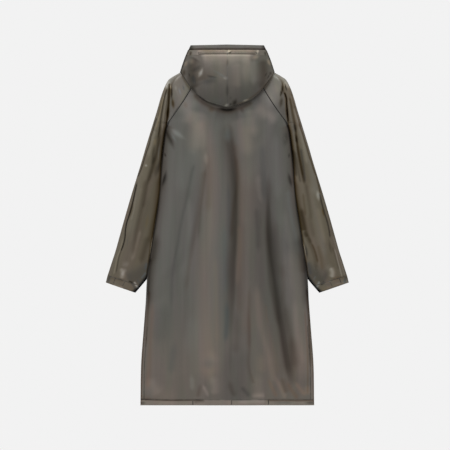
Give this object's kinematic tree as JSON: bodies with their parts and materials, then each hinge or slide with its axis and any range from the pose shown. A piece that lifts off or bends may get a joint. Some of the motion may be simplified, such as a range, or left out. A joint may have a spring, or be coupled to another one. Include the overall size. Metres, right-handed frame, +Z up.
{
  "type": "raincoat",
  "caption": "Long hooded raglan raincoat of smoke-tinted waterproof film, laid flat on its front with the hood turned back.",
  "frame": {"origin": "on the surface that the coat lies on, under the middle of its bounding box", "axes": "+X across the coat towards the wearer's right, +Y from the hem to the hood, +Z up off the surface, out of the back panel"},
  "size_m": [0.8758, 1.2959, 0.0429],
  "materials": {
    "film": "smoke-tinted rainproof film with a satin face",
    "snap": "dark moulded press studs"
  },
  "bodies": {
    "root": {"back_panel": "film", "front_left": "film", "front_right": "film", "sleeve_left": "film", "sleeve_right": "film", "hood_left": "film", "hood_right": "film", "collar_left": "film", "collar_right": "film", "snap_1": "snap", "snap_2": "snap", "snap_3": "snap", "snap_4": "snap", "snap_5": "snap", "snap_6": "snap", "snap_7": "snap", "snap_8": "snap"}
  },
  "joints": []
}
